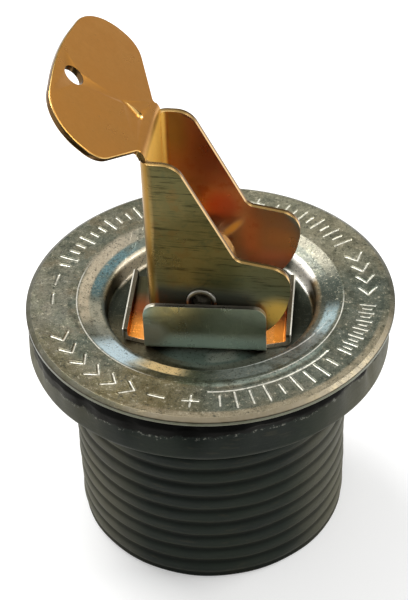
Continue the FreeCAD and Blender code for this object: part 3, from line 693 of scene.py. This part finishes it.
def flange_mesh():
    fine, coarse, rings = 1200, 300, 50
    step = fine // coarse
    inner, outer = CREASE_REACH + 0.35, FLANGE_RADIUS - RIM_BEVEL[0] - 0.15
    angles = np.arange(fine) * 2 * math.pi / fine
    radii = np.linspace(inner, outer, rings + 1)
    x = radii[None, :] * np.cos(angles)[:, None]
    y = radii[None, :] * np.sin(angles)[:, None]
    fade = np.clip(np.minimum(radii - inner, outer - radii) / 0.4, 0, 1)[None, :]
    pressed = pressed_depth(x, y)
    z = FLANGE_TOP - pressed + sheet_waves(x, y) * fade
    grid = np.stack([x, y, z], -1).reshape(-1, 3)
    count = rings + 1
    faces = []
    for i in range(fine):
        j = (i + 1) % fine
        for k in range(rings):
            faces.append((i * count + k, i * count + k + 1, j * count + k + 1, j * count + k))
    bottom, edge, crease = flange_underside(FLANGE_SHEET)
    bevel_in = FLANGE_RADIUS - RIM_BEVEL[0]
    path = rounded([(outer + 0.06, FLANGE_TOP, 0), (bevel_in, FLANGE_TOP, 0.08),
                    (FLANGE_RADIUS, FLANGE_TOP - RIM_BEVEL[1], 0.12), (FLANGE_RADIUS, RUBBER_TOP, 0.12),
                    (crease[0], crease[1], 0), (edge[0], edge[1], 0), (bottom[0], bottom[1], 0.8),
                    (STEM_HOLE, bottom[1], 0.1), (STEM_HOLE, WELL_FLOOR, 0.1),
                    (WELL_RADIUS, WELL_FLOOR, 0.4), (WELL_RADIUS, FLANGE_TOP - DISH_DEPTH, 0.6),
                    (CREASE_REACH, FLANGE_TOP, 0.9), (inner - 0.06, FLANGE_TOP, 0)], steps=5, closed=False)
    path = np.array(path)
    turn = np.arange(coarse) * 2 * math.pi / coarse
    rest = np.stack([path[None, :, 0] * np.cos(turn)[:, None], path[None, :, 0] * np.sin(turn)[:, None],
                     np.broadcast_to(path[None, :, 1], (coarse, len(path)))], -1).reshape(-1, 3)
    base, length = len(grid), len(path)
    for i in range(coarse):
        j = (i + 1) % coarse
        for k in range(length - 1):
            faces.append((base + i * length + k, base + i * length + k + 1, base + j * length + k + 1,
                          base + j * length + k))
        outside = [((i * step + s) % fine) * count + rings for s in range(step, -1, -1)]
        inside = [((i * step + s) % fine) * count for s in range(step + 1)]
        faces.append([base + i * length, base + j * length] + outside)
        faces.append([base + j * length + length - 1, base + i * length + length - 1] + inside)
    mesh = mesh_from("flange_stamping", np.concatenate([grid, rest]), faces)
    point_values(mesh, "pressed", np.concatenate([pressed.reshape(-1) / MARK_DEPTH, np.zeros(len(rest))]))
    return clean(mesh)


# Rubber plug: moulded ribs with soft crests, a worn lip edge and small nicks

BODY_SHIFT = (-0.35, -0.4)
LIP_SHIFT = (-0.28, 0.1)


def rubber_mesh():
    segments = 300
    bottom, edge, crease = flange_underside(FLANGE_SHEET + SEAT_CLEARANCE)
    inside = rounded([(RECESS_RADIUS + 1.0, 0.0, 0), (RECESS_RADIUS, 0, 0.15), (RECESS_RADIUS, RECESS_TOP, 0.1),
                      (POCKET_RADIUS, RECESS_TOP, 0.1), (POCKET_RADIUS, POCKET_TOP, 0.2),
                      (RUBBER_BORE, POCKET_TOP, 0.2), (RUBBER_BORE, WELL_FLOOR - FLANGE_SHEET, 0),
                      (bottom[0], WELL_FLOOR - FLANGE_SHEET, 0), (edge[0], edge[1], 0),
                      (crease[0], RUBBER_TOP, 0)], steps=3, closed=False)
    lip = rounded([(crease[0] + 0.5, RUBBER_TOP, 0), (FLANGE_RADIUS - 0.9, RUBBER_TOP, 0.3),
                   (LIP_RADIUS, RUBBER_TOP - 1.2, 0.5), (LIP_RADIUS, BODY_HEIGHT, 0.9),
                   (BODY_RADIUS + 0.3, BODY_HEIGHT, 0.4)], steps=6, closed=False)
    outside = []
    samples = 12
    rows = int(BODY_HEIGHT / RIB_PITCH + 0.001)
    for i in range(rows * samples, 0, -1):
        height = i * RIB_PITCH / samples
        groove = (0.5 - 0.5 * math.cos(2 * math.pi * (height / RIB_PITCH + 0.25))) ** 2.5
        outside.append((BODY_RADIUS - 0.6 * RIB_DEPTH * groove, height, groove))
    profile = [(p[0], p[1], 0) for p in inside] + [(p[0], p[1], 0) for p in lip] + outside
    profile.append((BODY_RADIUS - 0.45, 0.05, 0))
    profile.append((BODY_RADIUS - 0.65, 0.0, 0))
    grid, faces = revolved([p[:2] for p in profile], segments)
    grooves = np.broadcast_to(np.array([p[2] for p in profile])[None, :], (segments, len(profile)))
    radius = np.hypot(grid[..., 0], grid[..., 1])
    angle = np.arctan2(grid[..., 1], grid[..., 0])
    height = grid[..., 2]
    shown = (radius > BODY_RADIUS - 1.0) & (height > 0.01)
    aside = np.clip((radius - RECESS_RADIUS - 1.05) / 0.4, 0, 1) * (height < RUBBER_TOP - 0.01)
    lipped = np.clip((height - BODY_HEIGHT + 0.3) / 0.3, 0, 1)
    shift = -0.03 * (1 + np.sin(5 * angle + 0.8 * height)) - 0.02 * (1 + np.sin(13 * angle - 1.7 * height))
    random = np.random.default_rng(11)
    top = (height > RUBBER_TOP - 1.9) & (height < RUBBER_TOP - 0.05) & (radius > 19.0)
    for _ in range(90):
        where, wide = random.uniform(-math.pi, math.pi), random.uniform(0.2, 1.3) / LIP_RADIUS
        deep, level = random.uniform(0.08, 0.40), random.uniform(RUBBER_TOP - 1.6, RUBBER_TOP - 0.2)
        away = (angle - where + math.pi) % (2 * math.pi) - math.pi
        shift = shift - top * deep * np.exp(-(away / wide) ** 2 - ((height - level) / 0.35) ** 2)
    scale = 1 + np.where(shown, shift, 0) / radius
    for axis in (0, 1):
        grid[..., axis] *= scale
        grid[..., axis] += aside * (BODY_SHIFT[axis] * (1 - lipped) + LIP_SHIFT[axis] * lipped)
    mesh = mesh_from("ribbed_rubber", grid.reshape(-1, 3), faces)
    point_values(mesh, "groove", grooves)
    return clean(mesh)


def stem_mesh():
    """The shank, with a right-hand thread cut into it."""
    pitch, depth, low, high = 1.27, 0.62, 0.6, 27.3
    turns, rows = 48, 300
    heights = np.linspace(low, high, rows)
    angles = np.arange(turns) * 2 * math.pi / turns
    phase = (heights[None, :] / pitch - angles[:, None] / (2 * math.pi)) % 1.0
    tooth = np.clip(np.abs(phase - 0.5) * 2 * 1.15 - 0.08, 0, 1)
    radius = STEM_RADIUS - 0.02 - depth * tooth
    chamfer = np.clip((heights - low) / 0.6, 0, 1)[None, :]
    radius = np.minimum(radius, STEM_RADIUS - 0.6 * (1 - chamfer))
    side = np.stack([radius * np.cos(angles)[:, None], radius * np.sin(angles)[:, None],
                     np.broadcast_to(heights[None, :], radius.shape)], -1)
    faces = []
    for i in range(turns):
        j = (i + 1) % turns
        for k in range(rows - 1):
            faces.append((i * rows + k, j * rows + k, j * rows + k + 1, i * rows + k + 1))
    points = np.concatenate([side.reshape(-1, 3), [(0, 0, low), (0, 0, high)]])
    for i in range(turns):
        j = (i + 1) % turns
        faces.append((len(points) - 2, j * rows, i * rows))
        faces.append((len(points) - 1, i * rows + rows - 1, j * rows + rows - 1))
    return clean(mesh_from("rolled_thread", points, faces))


def rivet_mesh():
    """A semi-tubular rivet, clinched round its bore, with a domed head at the far end."""
    near, far = -CHANNEL_HALF - 0.05, CHANNEL_HALF + 0.05
    tip = near - 0.35
    profile = rounded([(0.001, tip + 3.0, 0), (1.05, tip + 3.0, 0.1), (1.05, tip, 0.16), (1.65, tip, 0.17),
                       (1.65, near, 0.04), (1.45, near, 0.03), (1.45, far, 0.03), (2.5, far, 0.05),
                       (2.5, far + 0.28, 0.12), (1.6, far + 0.4, 0.4), (0.001, far + 0.4, 0)], steps=4)
    grid, faces = revolved(profile, 96, axis="Y", level=PIN_LEVEL)
    return clean(mesh_from("clinched_rivet", grid.reshape(-1, 3), faces))


def handle_normal(p):
    """The folded sheet's own normal near a point of the handle."""
    rise = p.z - BEND_AXIS[1]
    if rise > 0 and p.x < -WEB_REACH + 1.2:
        turn = min(TAB_TURN, math.atan2(rise, p.x - BEND_AXIS[0]))
        return Vector((math.cos(turn), 0, math.sin(turn)))
    corner = -WEB_REACH + CHANNEL_CORNER
    side = CHANNEL_HALF - CHANNEL_CORNER
    if p.x > corner:
        return Vector((0, 1, 0))
    if abs(p.y) < side:
        return Vector((1, 0, 0))
    return Vector((p.x - corner, p.y - math.copysign(side, p.y), 0)).normalized()


def tray_normal(p):
    """The folded tray's own normal near a point of it."""
    fold = WELL_FLOOR + TRAY_FOLD
    beyond_x, beyond_y = abs(p.x) - (LOW_TAB_REACH - TRAY_FOLD), abs(p.y) - (TALL_TAB_REACH - TRAY_FOLD)
    below = min(0.0, p.z - fold)
    if beyond_x > 0 and beyond_x > beyond_y:
        return Vector((math.copysign(beyond_x, p.x), 0, below)).normalized()
    if beyond_y > 0:
        return Vector((0, math.copysign(beyond_y, p.y), below)).normalized()
    return Vector((0, 0, 1))


rubber = add_piece("ribbed_rubber", rubber_mesh(), [rubber_finish()], "root", ["rubber_plug"])
flange = add_piece("flange_stamping", flange_mesh(), [flange_finish()], "root", ["flange_plate"])
tray_mesh = edge_rounded("cam_tray", "folded_tray", 0.12, tray_normal)
tray_mesh.transform(Matrix.Rotation(TRAY_PLAY, 4, "Z"))
tray = add_piece("folded_tray", tray_mesh, [tray_finish()],
                 "tray", ["cam_tray"], weighted=True)
handle = add_piece("folded_handle", edge_rounded("lever_handle", "folded_handle", 0.13, handle_normal),
                   [brass_finish()], "handle", ["lever_handle"], weighted=True)
rivet = add_piece("clinched_rivet", rivet_mesh(), [rivet_finish()], "stem", ["pivot_rivet"],
                  weighted=True)
eye = add_piece("stem_eye", edge_rounded("eye_stem", "stem_eye", 0.15, keep_above=27.2), [stem_finish()],
                "stem", ["eye_stem"], weighted=True)
thread = add_piece("stem_thread", stem_mesh(), [eye.data.materials[0]], "stem")
washer = add_piece("pressed_washer", edge_rounded("cup_washer", "pressed_washer", 0.15), [washer_finish()],
                   "washer", ["cup_washer"], weighted=True)
nut = add_piece("hex_nut", edge_rounded("adjusting_nut", "hex_nut", 0.1), [nut_finish()],
                "nut", ["adjusting_nut"], weighted=True)
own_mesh(rubber)


# Studio: pale floor, soft lamps, and grey cards that only the metal mirrors

def plane(name, size, material):
    half_x, half_y = size[0] / 2, size[1] / 2
    mesh = bpy.data.meshes.new(name)
    mesh.from_pydata([(-half_x, -half_y, 0), (half_x, -half_y, 0), (half_x, half_y, 0), (-half_x, half_y, 0)],
                     [], [(0, 1, 2, 3)])
    mesh.materials.append(material)
    board = bpy.data.objects.new(name, mesh)
    scene.collection.objects.link(board)
    return board


def aim(thing, place, target=(0, 0, 0.03)):
    """Puts a thing at a place in metres, with its own -Z towards the target."""
    thing.location = place
    way = Vector(target) - Vector(place)
    thing.rotation_euler = way.to_track_quat("-Z", "Y").to_euler()


def direction(azimuth, elevation, distance):
    """A place in metres, from the azimuth clockwise from +Y and the elevation, both in degrees."""
    a, e = math.radians(azimuth), math.radians(elevation)
    return Vector((math.sin(a) * math.cos(e), math.cos(a) * math.cos(e), math.sin(e))) * distance


def floor_material():
    f = Finish("pale_floor", roughness=0.9, specular=0.1)
    tone = f.mix(f.band(f.noise(40.0), 0.3, 0.7), (0.80, 0.80, 0.80), (0.82, 0.82, 0.81))
    f.done(tone)
    light_path = f.tree.nodes.new("ShaderNodeLightPath")
    shown = f.math("MAXIMUM", f.math("MAXIMUM", light_path.outputs["Is Camera Ray"],
                                     light_path.outputs["Is Glossy Ray"]),
                   light_path.outputs["Is Transmission Ray"])
    f.feed(f.shader.inputs["Emission Color"], (1.0, 1.0, 1.0))
    f.feed(f.shader.inputs["Emission Strength"], f.math("MULTIPLY", shown, 0.28))
    return f.material


def card_material(name, grey):
    material = bpy.data.materials.new(name)
    material.use_nodes = True
    tree = material.node_tree
    tree.nodes.clear()
    glow = tree.nodes.new("ShaderNodeEmission")
    glow.inputs["Color"].default_value = (grey[0], grey[1], grey[2], 1.0)
    out = tree.nodes.new("ShaderNodeOutputMaterial")
    tree.links.new(glow.outputs[0], out.inputs["Surface"])
    return material


def card(name, place, size, grey, target=(0, 0, 0.03)):
    board = plane(name, size, card_material(name, grey))
    aim(board, place, target)
    board.visible_camera = False
    board.visible_diffuse = False
    board.visible_transmission = False
    board.visible_shadow = False
    return board


def lamp(name, place, size, power, colour=(1, 1, 1)):
    light = bpy.data.lights.new(name, "AREA")
    light.shape = "RECTANGLE"
    light.size, light.size_y = size
    light.energy = power
    light.color = colour
    holder = bpy.data.objects.new(name, light)
    scene.collection.objects.link(holder)
    aim(holder, place)
    return holder


floor = plane("pale_floor", (8.0, 8.0), floor_material())
card("front_card", direction(180, 35, 0.9), (1.6, 1.1), (0.11, 0.115, 0.095))
card("low_card", (0.0, -0.26, 0.0005), (0.7, 0.42), (0.10, 0.105, 0.08), target=(0.0, -0.26, 1.0))
card("back_card", direction(-8, 36, 1.2), (1.3, 0.75), (0.36, 0.37, 0.32))
card("horizon_card", direction(-5, 5, 1.3), (1.2, 0.30), (0.16, 0.17, 0.14))
card("right_card", direction(45, 12, 1.1), (0.7, 0.6), (0.44, 0.42, 0.39))
lamp("key_lamp", direction(-50, 60, 0.8), (0.4, 0.4), 5.0)
lamp("fill_lamp", direction(70, 45, 0.9), (0.5, 0.4), 3.6)
world = bpy.data.worlds.new("studio")
scene.world = world
world.use_nodes = True
wt = world.node_tree
background = wt.nodes["Background"]
path_node = wt.nodes.new("ShaderNodeLightPath")
either = wt.nodes.new("ShaderNodeMath")
either.operation = "MAXIMUM"
wt.links.new(path_node.outputs["Is Camera Ray"], either.inputs[0])
wt.links.new(path_node.outputs["Is Glossy Ray"], either.inputs[1])
any_ray = wt.nodes.new("ShaderNodeMath")
any_ray.operation = "MAXIMUM"
wt.links.new(either.outputs[0], any_ray.inputs[0])
wt.links.new(path_node.outputs["Is Transmission Ray"], any_ray.inputs[1])
level = wt.nodes.new("ShaderNodeMapRange")
level.inputs["To Min"].default_value = 0.55
level.inputs["To Max"].default_value = 1.0
wt.links.new(any_ray.outputs[0], level.inputs["Value"])
background.inputs["Color"].default_value = (1.0, 1.0, 1.0, 1.0)
wt.links.new(level.outputs[0], background.inputs["Strength"])

# Camera at the photograph's viewpoint
PAN, TILT, ROLL = 0.2189, -0.2366, 2.0787
FOCAL_PIXELS = 1631.28
FRAME_HEIGHT = 600
a, e = math.radians(AZIMUTH), math.radians(ELEVATION)
back = Vector((math.sin(a) * math.cos(e), -math.cos(a) * math.cos(e), math.sin(e)))
place = Vector((0, 0, FLANGE_TOP)) + back * DISTANCE
forward = -back
right = forward.cross(Vector((0, 0, 1))).normalized()
up = right.cross(forward)
forward, right = (Matrix.Rotation(math.radians(PAN), 3, up) @ v for v in (forward, right))
forward, up = (Matrix.Rotation(math.radians(TILT), 3, right) @ v for v in (forward, up))
right, up = (Matrix.Rotation(math.radians(ROLL), 3, forward) @ v for v in (right, up))
camera_data = bpy.data.cameras.new("camera")
camera_data.sensor_width = 36.0
camera_data.lens = FOCAL_PIXELS * camera_data.sensor_width / FRAME_HEIGHT
camera_data.clip_start = 0.01
camera_data.clip_end = 20
camera = bpy.data.objects.new("camera", camera_data)
scene.collection.objects.link(camera)
turn = Matrix((right, up, -forward)).transposed().to_4x4()
camera.matrix_world = Matrix.Translation(place * MM) @ turn
scene.camera = camera
scene.view_settings.view_transform = "Standard"
